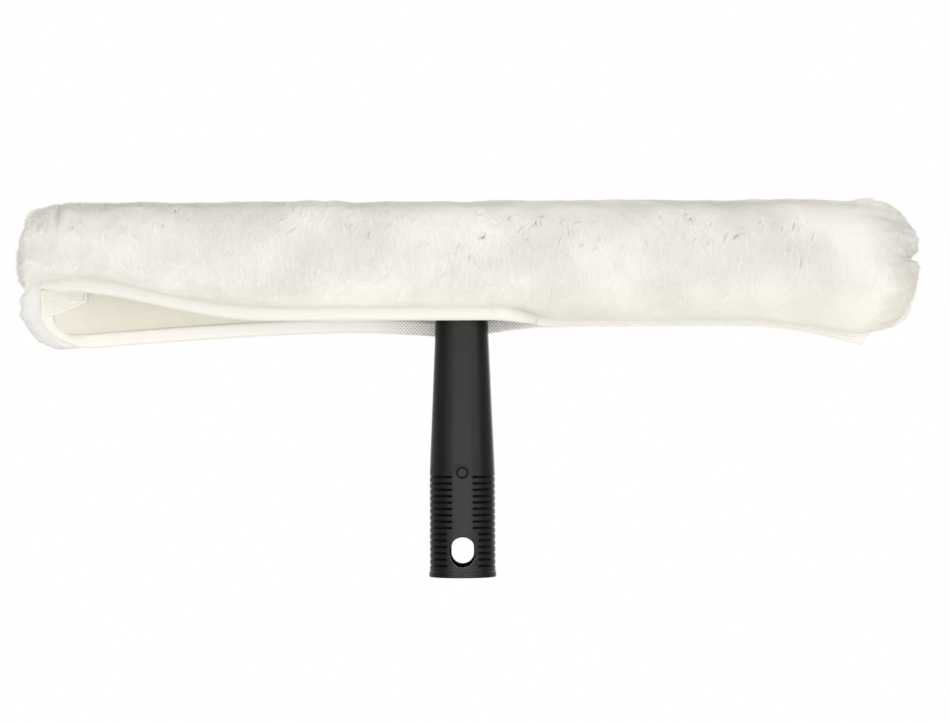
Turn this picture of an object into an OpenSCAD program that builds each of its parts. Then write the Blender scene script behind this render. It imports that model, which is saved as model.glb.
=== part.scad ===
// Window scrubber: a black moulded handle on an aluminium crossbar, inside a fleece sleeve.
// The bar lies along X, the handle hangs down along Z, and -Y is the side that faces the user.
// The origin is the middle of the socket's mouth, at the lower end of the handle.

/* [Handle] */
// Height of the crossbar's axis above the socket's mouth
bar_z = 161.5; // [150:0.5:200]
// Diameter of the straight grip at the bottom of the handle
grip_d = 33.4; // [32:0.1:38]
// Height of the straight grip
grip_h = 52; // [50:0.5:60]
// Diameter of the neck, where the handle enters the sleeve
neck_d = 26.6; // [22:0.1:28]
// Distance from the crossbar's axis down to the foot of the neck's taper
neck_drop = 30; // [26:0.5:36]
// How far the rim stands out from the grip
rim_proud = 0.4; // [0.2:0.1:1]
// Height of the rim round the socket's mouth
rim_h = 2.6; // [2:0.1:4]
// Depth and height of the fine line round the rim
rim_line = 0.35; // [0.2:0.05:0.5]

/* [Pole socket] */
// Diameter of the socket that takes the tip of a pole
socket_d = 24.4; // [22:0.1:25]
// Depth of the socket
socket_depth = 70; // [60:1:75]
// Diameter of the cored-out space above the socket
core_d = 17; // [12:0.5:18]
// Depth at which that space ends
core_depth = 118; // [100:1:122]

/* [Grip] */
// Number of grooves on each side of the grip
groove_count = 15; // [8:1:15]
// Distance from one groove to the next
groove_pitch = 3.22; // [2.8:0.01:3.3]
// Height of the lowest groove
groove_start = 6.1; // [5:0.1:7]
// Height of one groove
groove_w = 1.3; // [0.8:0.1:1.6]
// Depth of one groove at the front and the back
groove_depth = 1; // [0.5:0.1:1.4]
// Depth of one groove at the sides, where the two halves of the mould meet
groove_side = 0.25; // [0.1:0.05:0.4]
// How many of the lowest grooves stop at the wide panel round the hanging hole
low_groove_count = 6; // [3:1:7]
// Width of the smooth panel between the upper grooves
panel_w = 10.4; // [8:0.1:12]
// Width of the smooth panel between the lower grooves
low_panel_w = 16; // [15:0.1:18]
// Width of the hanging hole
hang_w = 13; // [9:0.1:13.5]
// Height of the hanging hole
hang_h = 15.4; // [14:0.1:16]
// How much narrower the hole is at the back, on each side
hang_draft = 0.8; // [0:0.1:1]
// Height of the hanging hole's middle
hang_z = 13; // [12:0.1:16]
// Diameter of the round moulding mark above the grooves
mark_d = 5.3; // [3:0.1:7]
// Depth of the round moulding mark
mark_depth = 0.5; // [0.3:0.1:0.8]
// Width of the raised line over the mark
arch_w = 0.6; // [0.4:0.1:1]
// How far that line stands out
arch_proud = 0.2; // [0.1:0.05:0.4]
// Gap from the top groove up to the middle of the mark
mark_gap = 2.2; // [1:0.1:4]

/* [Crossbar] */
// Outer diameter of the aluminium tube
bar_d = 25.4; // [22:0.1:27]
// Wall of the tube
bar_wall = 1.6; // [1:0.1:2.5]
// Length of the tube
bar_len = 400; // [360:1:440]
// Wall of the collar that holds the tube
collar_wall = 3; // [2.5:0.1:3.6]
// Length of the collar along the tube
collar_len = 42; // [36:1:52]
// Thickness of an end cap's flange
cap_flange = 3; // [2:0.1:4]
// How far the flange stands out from the tube
cap_proud = 0.5; // [0.2:0.1:0.8]
// Length of the plug that fits inside the tube
plug_len = 14; // [8:0.5:20]
// Diameter of a rivet's shank
rivet_d = 4; // [3:0.1:5]
// Diameter of a rivet's head
rivet_head_d = 7; // [6:0.1:8]
// Thickness of a rivet's head
rivet_head_h = 1.1; // [0.8:0.1:1.4]
// Distance between the two rivets
rivet_spread = 24; // [16:0.5:28]

/* [Sleeve] */
// Depth of the fleece's pile
pile = 12.5; // [8:0.1:14]
// Thickness of the knitted backing
cloth = 1.5; // [1:0.1:2]
// Height of the hem, which carries no pile
hem_h = 7.5; // [5:0.1:9]
// Thickness of the folded hem
hem_t = 3; // [2.2:0.1:3.2]
// How far the open left end reaches past the bar's end
left_reach = 15; // [12:0.5:30]
// How far the sewn right end reaches past the bar's end
right_reach = 18; // [16:0.5:30]
// Distance from the bar's axis down to the front hem's edge
front_drop = 30.9; // [28:0.1:36]
// Distance from the bar's axis down to the back hem's edge
back_drop = 36.9; // [34:0.1:42]
// Distance from the bar's axis down to the edge of the sewn seam
seam_drop = 34.5; // [32:0.1:42]
// How far the front hem lifts towards the left end
front_lift = 15.4; // [4:0.1:16]
// How far the back hem sags towards the left end
back_sag = 8.4; // [2:0.1:12]
// How far the mouth at the left end is spread on each side
mouth_flare = 4.2; // [3:0.1:8]
// How far the sewn corner at the right end hangs below the seam
corner_drop = 9.7; // [3:0.1:12]
// Distance from the handle's axis to the right end of the slit
slit_right = 46; // [40:0.5:60]

/* [Closing tab] */
// Length of the closing tab
tab_len = 24; // [16:0.5:28]
// Height of the tab where it is sewn on
tab_h = 14.8; // [10:0.1:16]
// Height of the tab at its tip
tab_tip_h = 8; // [5:0.1:10]
// Thickness of the tab
tab_t = 1.2; // [0.8:0.1:1.3]
// Length of the hook pad at the tab's tip
hook_len = 8; // [5:0.1:12]
// Thickness of the hook pad
hook_t = 0.9; // [0.6:0.1:1]

/* [Fits] */
// Gap between the tube and its collar, and between a rivet and its hole
tight_gap = 0.05; // [0.02:0.01:0.1]
// Least gap between the sleeve and the collar
sleeve_gap = 0.4; // [0.3:0.05:1]
// Gap between the tab and what it hangs beside
tab_gap = 0.35; // [0.3:0.05:0.6]

/* [Hidden] */

$fn = 96;
through = 2 * bar_z;  // longer than any cut has to be

// Handle
grip_r = grip_d / 2;
rim_r = grip_r + rim_proud;
neck_r = neck_d / 2;
neck_z = bar_z - neck_drop;
bar_r = bar_d / 2;
collar_r = bar_r + tight_gap + collar_wall;
web_inset = 0.5;      // the web under the collar is this much narrower than the collar
web_rise = 4;         // and spreads from the neck over this height
web_lead = 1;         // from this far below the collar
rim_soft = 0.4;       // bevel of the handle's lower rim
groove_top = groove_start + (groove_count - 1) * groove_pitch;
mark_z = groove_top + mark_gap;
cap_soft = 1.5;       // rounding of the cap's flange
plug_wall = 2;        // wall of the plug, which is a hollow cup
plug_lead = 0.6;      // bevel that leads the plug into the tube
bar_end = bar_len / 2 + cap_flange;

// Sleeve: sizes of its cross-section, measured to the middle of the backing
half_cloth = cloth / 2;
arch_r = collar_r + sleeve_gap + half_cloth;
arch_z = bar_z;
// The handle widens below the neck, and the hems hang beside that wider part
hem_low_z = bar_z - back_drop - back_sag;
pass_r = mix(neck_r, grip_r, clamp((neck_z - hem_low_z) / (neck_z - grip_h)));
slit_half = pass_r + hem_t - half_cloth + sleeve_gap;
rim_x = -(bar_end + left_reach);
end_x = bar_end + right_reach;
lift_lead = 133;     // the front hem starts to lift this far from the rim
lift_run = 118;      // and is fully lifted after this much
lift_x = rim_x + lift_lead;
hook_run = 22;       // near the rim it comes down again, over this length
hook_drop = 6;       // and by this much
sag_lead = 158;      // the back hem starts to sag this far from the rim
sag_run = 145;
sag_x = rim_x + sag_lead;
flare_lead = 68;     // the mouth starts to spread this far from the rim
flare_run = 40;
flare_x = rim_x + flare_lead;
corner_run = 58;     // length over which the right corner drops
corner_lead = 18;    // and it is fully down this far before the sewn end
dip = 2.4;           // the back hem dips this much behind the handle
dip_run = 30;
end_run = 34;        // length over which the right end closes
end_power = 2.5;
closing_lead = 6;    // the slit's edges start to close this far right of the neck
closing_x = neck_r + closing_lead;
back_lead = 5;       // the back edge starts towards the seam this far left of the middle
seam_blend = 10;     // the front edge has met the seam this far right of the slit
sew_gap = 0.4;       // pieces that are sewn together lie this far apart
seam_half = hem_t - half_cloth + sew_gap / 2;

// How the ends and edges bend
rim_back = 15;       // the rim's lower back corner is cut back this far
rim_back_row = 0.72; // from this row
rim_front = 5;       // and its front corner this far
rim_front_row = 0.8;
end_top = 12;        // the sewn end is cut back this far at the top
end_top_row = 0.4;   // above this row
end_low = 18;        // and this far at the bottom
end_low_row = 0.6;   // below this row
end_low_power = 1.5;
lift_power = 2.7;
sag_power = 1.4;
corner_power = 1.7;

// Rows across the sleeve run from the front edge, -1, over the top, 0, to the back edge, 1
hem_row = 0.9;       // the row where the hem meets the pile
arch_row = 0.45;     // the row where the arch becomes a straight wall
cross_rows = [for (k = [-9:9]) hem_row * k / 9];
hem_rows = [hem_row + (1 - hem_row) * sew_gap / hem_h, 0.95, 1];
rim_rows = concat([-1, -0.95], cross_rows, [0.95, 1]);

function clamp(v) = max(0, min(1, v));
function smooth(v) = let (q = clamp(v)) q * q * (3 - 2 * q);
function mix(a, b, q) = a + (b - a) * q;
function unit(v) = v / max(norm(v), 1e-9);
function reverse(list) = [for (k = [len(list) - 1:-1:0]) list[k]];

// Lower edges of the sleeve: the sewn seam, the front hem and the back hem
function seam_z(x) = bar_z - seam_drop - corner_drop
    * pow(clamp((x - (end_x - corner_lead - corner_run)) / corner_run), corner_power);
function front_edge(x) = mix(bar_z - front_drop
    + front_lift * pow(sin(90 * clamp((lift_x - x) / lift_run)), lift_power)
    - hook_drop * pow(clamp((rim_x + hook_run - x) / hook_run), 2),
    seam_z(x), smooth((x - neck_r) / (slit_right + seam_blend - neck_r)));
function back_edge(x) = mix(bar_z - back_drop
    - back_sag * pow(clamp((sag_x - x) / sag_run), sag_power) - dip * exp(-pow(x / dip_run, 2)),
    seam_z(x), smooth((x + back_lead) / (slit_right + 2 * back_lead)));
function flare(x) = mouth_flare * smooth((flare_x - x) / flare_run);

// Half the width of the slit between the two edges, and half the depth of the sleeve
function edge_half(x) = flare(x)
    + mix(slit_half, seam_half, smooth((x - closing_x) / (slit_right - closing_x)));
function side_half(x) = arch_r + flare(x);

// The two ends: the open rim with its rounded lower corner, and the sewn end
function past(s, row) = clamp((s - row) / (1 - row));
function rim_at(s) = rim_x + (s > 0 ? rim_back * pow(past(s, rim_back_row), 2)
                                    : rim_front * pow(past(-s, rim_front_row), 2));
function end_at(s) = end_x - end_top * pow(clamp(1 - abs(s) / end_top_row), 2)
                           - end_low * pow(past(abs(s), end_low_row), end_low_power);

// One point of the middle of the backing: u runs from the rim, 0, to the sewn end, 1
function wall_part(s) = (abs(s) - arch_row) / (hem_row - arch_row);
function point_at(u, s) =
    let (x = mix(rim_at(s), end_at(s), u),
         side = s < 0 ? -1 : 1,
         edge = s < 0 ? front_edge(x) : back_edge(x),
         full = side_half(x),
         low = edge_half(x),
         close = pow(1 - pow(clamp((x - end_at(s) + end_run) / end_run), end_power), 1 / end_power),
         q = clamp(wall_part(s)),
         turn = 90 * clamp(abs(s) / arch_row),
         hem_top = edge + hem_h,
         wall_y = low + (full - low) * (1 - q * q),
         y = abs(s) < arch_row ? full * sin(turn) : wall_y,
         z = abs(s) < arch_row ? arch_z + arch_r * cos(turn)
           : abs(s) <= hem_row ? mix(arch_z, hem_top, q)
           : mix(hem_top, edge, (abs(s) - hem_row) / (1 - hem_row)))
    [x, side * mix(min(y, seam_half), y, close), z];

// The direction that points out of the sleeve there
step = 0.004;
function along(u, s) = unit(point_at(min(u + step, 1), s) - point_at(max(u - step, 0), s));
function across(u, s) = unit(point_at(u, min(s + step, 1)) - point_at(u, max(s - step, -1)));
function outward(u, s) = unit(cross(along(u, s), across(u, s)));
function off_cloth(u, s, d) = point_at(u, s) + d * outward(u, s);

// Depth of the pile: it swells from the hem's edge to its full depth
pile_edge = 2.4;     // depth of the pile right at the hem
swell_rows = 0.28;   // rows over which it reaches its full depth
function pile_at(s) = let (q = clamp((hem_row - abs(s)) / swell_rows))
    mix(pile_edge, pile, sqrt(1 - (1 - q) * (1 - q)));

// Columns along the sleeve: the rim hem's edge, the slit's end and the sewn end are among them
function at_x(x) = (x - rim_x) / (end_x - rim_x);
rim_u = at_x(rim_x + hem_h);
slit_u = at_x(slit_right);
sew_u = sew_gap / (end_x - rim_x);
rim_cols = [0, rim_u / 2, rim_u - sew_u];
slit_cols = [for (k = [0:10]) mix(rim_u, slit_u - (k == 10 ? sew_u : 0), k / 10)];
turn_u = 0.9;        // the columns lie closer together from here to the sewn end
seam_cols = [for (k = [1:7]) mix(slit_u, turn_u, k / 7)];
end_cols = [for (q = [0.3, 0.55, 0.75, 0.9, 1]) mix(turn_u, 1, q)];
closed_cols = concat([slit_u], seam_cols, end_cols);
tube_cols = concat([for (k = [0:9]) slit_cols[k]], closed_cols);

// A closed sheet between two surfaces, each a list of columns of points
module shell(outer, inner) {
    cols = len(outer);
    rows = len(outer[0]);
    half = cols * rows;
    points = concat([for (c = outer) each c], [for (c = inner) each c]);
    function quad(a, b, c, d) = [[a, c, b], [a, d, c]];
    faces = concat(
        [for (i = [0:cols - 2], j = [0:rows - 2])
            each quad(i * rows + j, (i + 1) * rows + j, (i + 1) * rows + j + 1, i * rows + j + 1)],
        [for (i = [0:cols - 2], j = [0:rows - 2])
            each [for (t = quad(i * rows + j, (i + 1) * rows + j,
                                (i + 1) * rows + j + 1, i * rows + j + 1))
                  [half + t[0], half + t[2], half + t[1]]]],
        [for (i = [0:cols - 2])
            each quad(i * rows, half + i * rows, half + (i + 1) * rows, (i + 1) * rows)],
        [for (i = [0:cols - 2]) let (j = rows - 1)
            each quad(i * rows + j, (i + 1) * rows + j, half + (i + 1) * rows + j,
                      half + i * rows + j)],
        [for (j = [0:rows - 2])
            each quad(j, j + 1, half + j + 1, half + j)],
        [for (j = [0:rows - 2]) let (i = (cols - 1) * rows)
            each quad(i + j, half + i + j, half + i + j + 1, i + j + 1)]);
    polyhedron(points, faces, convexity = 6);
}

// A piece of the sleeve between two distances from the middle of the backing
module sleeve_piece(cols, rows, inside, outside) {
    shell([for (u = cols) [for (s = rows) off_cloth(u, s, outside)]],
          [for (u = cols) [for (s = rows) off_cloth(u, s, inside)]]);
}

// Handle: a tapered barrel with a ribbed grip, the pole socket and the collar for the tube
module handle() {
    color("#2b2b2a")
    difference() {
        union() {
            rotate_extrude()
                polygon([[0, 0], [rim_r - rim_soft, 0], [rim_r, rim_soft], [rim_r, rim_h],
                         [grip_r, rim_h + rim_proud], [grip_r, grip_h], [neck_r, neck_z],
                         [neck_r, bar_z - collar_r - web_lead],
                         [collar_r - web_inset, bar_z - collar_r + web_rise],
                         [collar_r - web_inset, bar_z], [0, bar_z]]);
            translate([0, 0, bar_z])
                rotate([0, 90, 0])
                    cylinder(r = collar_r, h = collar_len, center = true);
            mark_arch();
        }
        translate([0, 0, bar_z])
            rotate([0, 90, 0])
                cylinder(r = bar_r + tight_gap, h = through, center = true);
        socket_void();
        hanging_hole();
        grip_grooves();
        for (side = [-1, 1])
            translate([0, side * (grip_r - mark_depth), mark_z])
                rotate([-90 * side, 0, 0])
                    cylinder(d = mark_d, h = grip_r);
        rotate_extrude()
            translate([rim_r - rim_line, rim_h / 2 - rim_line / 2])
                square([rim_r, rim_line]);
        rivet_holes();
    }
}

// Socket for a pole and the narrower core above it
module socket_void() {
    translate([0, 0, -1])
        cylinder(d = socket_d, h = socket_depth + 1);
    cylinder(d = core_d, h = core_depth);
}

// Raised line over the round mark, at the front and the back
module mark_arch() {
    inner_r = mark_d / 2 + arch_w;
    intersection() {
        for (side = [-1, 1])
            translate([0, 0, mark_z])
                rotate([-90 * side, 0, 0])
                    difference() {
                        cylinder(r = inner_r + arch_w, h = through);
                        translate([0, 0, -1])
                            cylinder(r = inner_r, h = through);
                    }
        translate([0, 0, mark_z])
            cylinder(r = grip_r + arch_proud, h = inner_r + arch_w);
    }
}

// Oval hole right through the grip, to hang the tool up by; its mould pin tapers to the back
module hanging_hole() {
    straight = hang_h - hang_w;
    front_r = hang_w / 2 + hang_draft / 2;
    back_r = hang_w / 2 - 3 * hang_draft / 2;
    for (end = [-1, 1])
        translate([0, -grip_d, hang_z + end * straight / 2])
            rotate([-90, 0, 0])
                cylinder(r1 = front_r, r2 = back_r, h = 2 * grip_d);
    translate([0, 0, hang_z - straight / 2])
        linear_extrude(height = straight)
            polygon([[-front_r, -grip_d], [front_r, -grip_d],
                     [back_r, grip_d], [-back_r, grip_d]]);
}

// Grooves round both sides of the grip, which stop at the smooth front and back panels.
// Their floor is flatter than the grip, so they fade out towards the sides.
module grip_grooves() {
    front_r = grip_r - groove_depth;
    shift = (pow(grip_r - groove_side, 2) - pow(front_r, 2)) / (2 * front_r);
    for (i = [0:groove_count - 1]) {
        half_panel = (i < low_groove_count ? low_panel_w : panel_w) / 2;
        z = groove_start + i * groove_pitch - groove_w / 2;
        intersection() {
            translate([0, 0, z])
                difference() {
                    cylinder(r = grip_r + 2, h = groove_w);
                    intersection_for (side = [-1, 1])
                        translate([0, side * shift, -1])
                            cylinder(r = front_r + shift, h = groove_w + 2);
                }
            for (side = [0, 1])
                mirror([side, 0, 0])
                    translate([half_panel, -through / 2, 0])
                        cube([through / 2, through, groove_top + groove_w]);
        }
    }
}

// Holes for the two rivets, through the collar and the tube, with sunk heads
module rivet_holes() {
    rivets(rivet_d / 2 + tight_gap, rivet_head_d / 2 + tight_gap, through / 2);
}

module rivets(shank_r, head_r, reach) {
    head_y = rivet_head_y();
    for (side = [-1, 1])
        translate([side * rivet_spread / 2, 0, bar_z]) {
            rotate([90, 0, 0])
                cylinder(r = shank_r, h = 2 * head_y + 0.02, center = true);
            for (face = [0, 1])
                mirror([0, face, 0])
                    translate([0, head_y, 0])
                        rotate([-90, 0, 0])
                            cylinder(r = head_r, h = min(reach, rivet_head_h));
        }
}

// A head lies inside the collar's round surface, also at its rim
function rivet_head_y() = sqrt(pow(collar_r, 2) - pow(rivet_head_d / 2, 2)) - rivet_head_h;

module collar_rivets() {
    color("#b9bbbd")
        rivets(rivet_d / 2, rivet_head_d / 2, rivet_head_h);
}

// Aluminium tube, cut to length and drilled for the rivets
module crossbar() {
    color("#c9cbcd")
    difference() {
        translate([0, 0, bar_z])
            rotate([0, 90, 0])
                difference() {
                    cylinder(r = bar_r, h = bar_len, center = true);
                    cylinder(r = bar_r - bar_wall, h = bar_len + 2, center = true);
                }
        for (side = [-1, 1])
            translate([side * rivet_spread / 2, 0, bar_z])
                rotate([90, 0, 0])
                    cylinder(r = rivet_d / 2 + tight_gap, h = through, center = true);
    }
}

// Plastic plug with a rounded flange, pressed into the end of the tube
module end_cap() {
    plug_r = bar_r - bar_wall - tight_gap;
    flange_r = bar_r + cap_proud;
    soft = min(cap_soft, cap_flange / 2);
    hollow_r = plug_r - plug_wall;
    translate([bar_len / 2, 0, bar_z])
        rotate([0, 90, 0])
            rotate_extrude()
                union() {
                    polygon([[0, 0], [flange_r, 0], [flange_r, cap_flange - soft],
                             [flange_r - soft, cap_flange], [0, cap_flange]]);
                    translate([flange_r - soft, cap_flange - soft])
                        circle(r = soft);
                    polygon([[0, soft], [0, -plug_wall], [hollow_r, -plug_wall],
                             [hollow_r, -plug_len], [plug_r - plug_lead, -plug_len],
                             [plug_r, -plug_len + 2 * plug_lead], [plug_r, soft]]);
                }
}

module right_end_cap() {
    color("#2b2b2a")
        end_cap();
}

module left_end_cap() {
    color("#2b2b2a")
        mirror([1, 0, 0])
            end_cap();
}

// Knitted backing of the fleece, from the rim hem to the sewn end
module backing() {
    color("#e7e3d6")
        sleeve_piece(tube_cols, cross_rows, -half_cloth, half_cloth);
}

// Hem folded outwards under the pile, round the open left end where the bar goes in
module rim_hem() {
    color("#f2efe5")
        sleeve_piece(rim_cols, rim_rows, -half_cloth, hem_t - half_cloth);
}

// Hem along the front edge of the slit
module front_hem() {
    color("#f2efe5")
        sleeve_piece(slit_cols, -reverse(hem_rows), half_cloth - hem_t, half_cloth);
}

// Hem along the back edge of the slit
module back_hem() {
    color("#f2efe5")
        sleeve_piece(slit_cols, hem_rows, half_cloth - hem_t, half_cloth);
}

// Seam that closes the sleeve right of the slit: both layers sewn together, without pile
module bottom_seam() {
    color("#f5f2ed")
        shell([for (u = closed_cols) [for (s = -reverse(hem_rows)) off_cloth(u, s, half_cloth)]],
              [for (u = closed_cols) [for (s = reverse(hem_rows)) off_cloth(u, s, half_cloth)]]);
}

// Seam allowance inside the sewn right end
module end_seam() {
    rows = [for (k = [2:8]) hem_row * k / 9];
    width = hem_t;
    half = seam_half - half_cloth - sew_gap / 4;
    function strip(s, x, y) = [end_at(s) - x, y, point_at(1, s)[2]];
    color("#efebe0")
        shell([for (x = [width, sew_gap]) [for (s = rows) strip(s, x, half)]],
              [for (x = [width, sew_gap]) [for (s = rows) strip(s, x, -half)]]);
}

// Pile of the fleece, from hem to hem; it leans out past the rim and closes over the sewn end
module fleece() {
    lean = [90, 60, 30];   // angles of the fan of pile round the rim
    over = 0.68;           // reach of the pile past the rim, as a part of its depth
    root = 0.12;           // thickness of the pile's root there, as a part of its depth
    meet = 0.15;           // half the gap where the pile meets over the sewn end
    function outer_at(u, s) = let (p = off_cloth(u, s, half_cloth + pile_at(s)))
        u < 1 ? p : [p[0], s < 0 ? -meet : s > 0 ? meet : 0, p[2]];
    over_hem = hem_t - half_cloth;
    function fan(s, out, past) = off_cloth(0, s, over_hem)
        + pile_at(s) * (out * outward(0, s) - past * along(0, s));
    function inner_at(u, s) = off_cloth(u, s, u < rim_u ? over_hem : half_cloth);
    cols = concat(rim_cols, tube_cols);
    color("#f1eee6")
        shell(concat([for (a = lean) [for (s = cross_rows) fan(s, cos(a), over * sin(a))]],
                     [for (u = cols) [for (s = cross_rows) outer_at(u, s)]]),
              concat([for (a = lean) [for (s = cross_rows) fan(s, root * sin(a), root * sin(a))]],
                     [for (u = cols) [for (s = cross_rows) inner_at(u, s)]]));
}

// Place of the closing tab: it is folded in behind the rim of the back wall
tab_seam = 1.5;      // it starts this far inside the rim
tab_rise = 1.8;      // and its top lies this far above the collar's lowest line
tab_nick = 1;        // its tip's upper corner is cut off this much
tab_chin = 2;        // and the lower corner this much
tab_slope = 2.2;     // its lower edge rises this much over the first part of its length
tab_y = slit_half + mouth_flare - half_cloth - tab_gap - tab_t / 2;
tab_x = rim_x + tab_seam;
tab_top = bar_z - collar_r + tab_rise;

module tab_outline() {
    polygon([[0, tab_top - tab_h], [tab_len * 0.4, tab_top - tab_h + tab_slope],
             [tab_len - tab_chin * 0.75, tab_top - tab_tip_h + tab_chin * 0.4],
             [tab_len, tab_top - tab_tip_h + tab_chin],
             [tab_len, tab_top - tab_nick], [tab_len - tab_nick, tab_top], [0, tab_top]]);
}

// Tab that closes the mouth of the sleeve, sewn to the rim of the back wall
module closing_tab() {
    color("#f4f1e8")
        translate([tab_x, tab_y + tab_t / 2, 0])
            rotate([90, 0, 0])
                linear_extrude(height = tab_t)
                    tab_outline();
}

// Hook pad on the tab's tip, which grips the knitted cloth
module hook_pad() {
    color("#e9e5d9")
        translate([tab_x + tab_len - hook_len - tab_nick, tab_y - tab_t / 2 - hook_t,
                   tab_top - tab_tip_h + tab_slope])
            cube([hook_len - tab_nick, hook_t, tab_tip_h - tab_slope - tab_nick]);
}

handle();
crossbar();
left_end_cap();
right_end_cap();
collar_rivets();
fleece();
backing();
rim_hem();
front_hem();
back_hem();
bottom_seam();
end_seam();
closing_tab();
hook_pad();
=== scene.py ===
import math

import bmesh
import bpy
import numpy as np
from mathutils import Matrix, Vector


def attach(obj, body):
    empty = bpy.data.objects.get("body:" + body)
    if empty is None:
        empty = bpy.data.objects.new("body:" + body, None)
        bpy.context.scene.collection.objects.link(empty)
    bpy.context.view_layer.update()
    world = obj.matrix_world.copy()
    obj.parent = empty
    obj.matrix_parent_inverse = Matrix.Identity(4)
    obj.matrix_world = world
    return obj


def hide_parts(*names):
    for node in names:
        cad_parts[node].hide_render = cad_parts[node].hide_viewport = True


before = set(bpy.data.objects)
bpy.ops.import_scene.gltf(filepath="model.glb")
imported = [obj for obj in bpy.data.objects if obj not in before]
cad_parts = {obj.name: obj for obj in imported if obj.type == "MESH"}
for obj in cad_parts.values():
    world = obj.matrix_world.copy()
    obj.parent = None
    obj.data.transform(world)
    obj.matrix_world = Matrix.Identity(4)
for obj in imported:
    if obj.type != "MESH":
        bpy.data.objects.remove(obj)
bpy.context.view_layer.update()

# View: a level camera looks straight at the tool's front, about two metres away, with
# its middle a little right of the handle and half way up the tool.
VIEW_MIDDLE = (0.0067, 0.1094)
VIEW_DISTANCE = 2.04
VIEW_ANGLE = math.radians(13.54)
VIEW_ROLL = math.radians(0.25)

camera = bpy.data.objects.new("camera", bpy.data.cameras.new("camera"))
camera.data.sensor_width = 36
camera.data.lens = camera.data.sensor_width / (2 * math.tan(VIEW_ANGLE / 2))
camera.matrix_world = (
    Matrix.Translation((VIEW_MIDDLE[0], -VIEW_DISTANCE, VIEW_MIDDLE[1]))
    @ Matrix.Rotation(VIEW_ROLL, 4, "Y")
    @ Matrix.Rotation(math.pi / 2, 4, "X")
)
bpy.context.scene.collection.objects.link(camera)
bpy.context.scene.camera = camera


# Handle: one injection moulding in black plastic, with a satin face, a ribbed grip, an
# oval hole to hang it by and the collar that holds the tube.
class Term:
    """A socket in a node tree. Signs of arithmetic on it add Math nodes."""

    def __init__(self, tree, socket):
        self.tree, self.socket = tree, socket

    def maths(self, operation, *terms):
        return add(self.tree, "ShaderNodeMath", {"operation": operation}, dict(enumerate(terms)))

    def __add__(self, other):
        return self.maths("ADD", self, other)

    def __sub__(self, other):
        return self.maths("SUBTRACT", self, other)

    def __rsub__(self, other):
        return self.maths("SUBTRACT", other, self)

    def __mul__(self, other):
        return self.maths("MULTIPLY", self, other)

    def __truediv__(self, other):
        return self.maths("DIVIDE", self, other)

    def __pow__(self, other):
        return self.maths("POWER", self, other)

    __radd__ = __add__
    __rmul__ = __mul__

    def wave(self):
        return self.maths("SINE", self)

    def size(self):
        return self.maths("ABSOLUTE", self)

    def part(self):
        return self.maths("FRACT", self)

    def held(self):
        return add(self.tree, "ShaderNodeClamp", {}, {0: self})


def add(tree, kind, settings=None, inputs=None, out=0):
    """Add a node: its settings first, then the values or links of its sockets."""
    node = tree.nodes.new(kind)
    for key, value in (settings or {}).items():
        setattr(node, key, value)
    for key, value in (inputs or {}).items():
        if isinstance(value, Term):
            tree.links.new(value.socket, node.inputs[key])
        else:
            node.inputs[key].default_value = value
    return Term(tree, node.outputs[out])


def shade(red, green, blue):
    """A colour as the eye reads it, 0 to 255, for a shader's socket."""
    return (*(((v / 255 + 0.055) / 1.055) ** 2.4 for v in (red, green, blue)), 1)


class Finish:
    """A material: a Principled surface, and what varies over it."""

    def __init__(self, name, **constants):
        self.material = bpy.data.materials.new(name)
        self.material.use_nodes = True
        self.tree = self.material.node_tree
        self.surface = next(n for n in self.tree.nodes if n.type == "BSDF_PRINCIPLED")
        for key, value in constants.items():
            self.surface.inputs[key.replace("_", " ")].default_value = value

    def add(self, kind, settings=None, inputs=None, out=0):
        return add(self.tree, kind, settings, inputs, out)

    def vary(self, name, term):
        self.tree.links.new(term.socket, self.surface.inputs[name])

    def place(self, stretch=(1, 1, 1)):
        point = self.add("ShaderNodeTexCoord", out=3)
        return self.add("ShaderNodeMapping", {}, {0: point, 3: stretch})

    def cut(self):
        """Lengths along and across the cloth as it was cut, in metres."""
        point = self.add("ShaderNodeUVMap", {"uv_map": "cut"})
        return [self.add("ShaderNodeSeparateXYZ", {}, {0: point}, out=k) for k in (0, 1)]

    def noise(self, scale, detail=2, place=None):
        return self.add("ShaderNodeTexNoise", {},
                        {"Vector": place or self.place(), "Scale": scale, "Detail": detail})

    def blend(self, factor, first, second):
        return self.add("ShaderNodeMix", {"data_type": "RGBA"},
                        {0: factor, 6: first, 7: second}, 2)

    def level(self, term, low, high):
        """0 below low, 1 above high, and smooth between."""
        return self.add("ShaderNodeMapRange", {"interpolation_type": "SMOOTHSTEP"},
                        {0: term, 1: low, 2: high})

    def relief(self, height, distance, strength=1.0):
        bump = self.add("ShaderNodeBump", {},
                        {"Height": height, "Distance": distance, "Strength": strength})
        self.vary("Normal", bump)


def dress(node, finish):
    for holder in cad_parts[node].material_slots:
        holder.material = finish.material


def settle(piece, finish, body, slot, *nodes):
    piece.data.materials.clear()
    piece.data.materials.append(finish.material)
    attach(piece, body)
    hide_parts(*nodes)


def turned(corners, faces, axis, level):
    """Where a face lies on a surface turned about the axis, and its corner normals there."""
    other = [k for k in range(3) if k != axis]
    spoke = corners.copy()
    spoke[:, 2] -= level
    spoke[:, axis] = 0
    spoke /= np.maximum(np.linalg.norm(spoke, axis=1), 1e-9)[:, None]
    facing = (spoke * faces).sum(axis=1)
    lean = faces[:, axis]
    flat = abs(faces[:, other]).max(axis=1) > 0.9998
    found = (abs(facing) > 0.97 * np.sqrt(1 - lean ** 2)) & (abs(lean) < 0.5) & ~flat
    normals = spoke * np.sqrt(1 - lean ** 2)[:, None] * np.sign(facing)[:, None]
    normals[:, axis] = lean
    return found, normals


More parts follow.
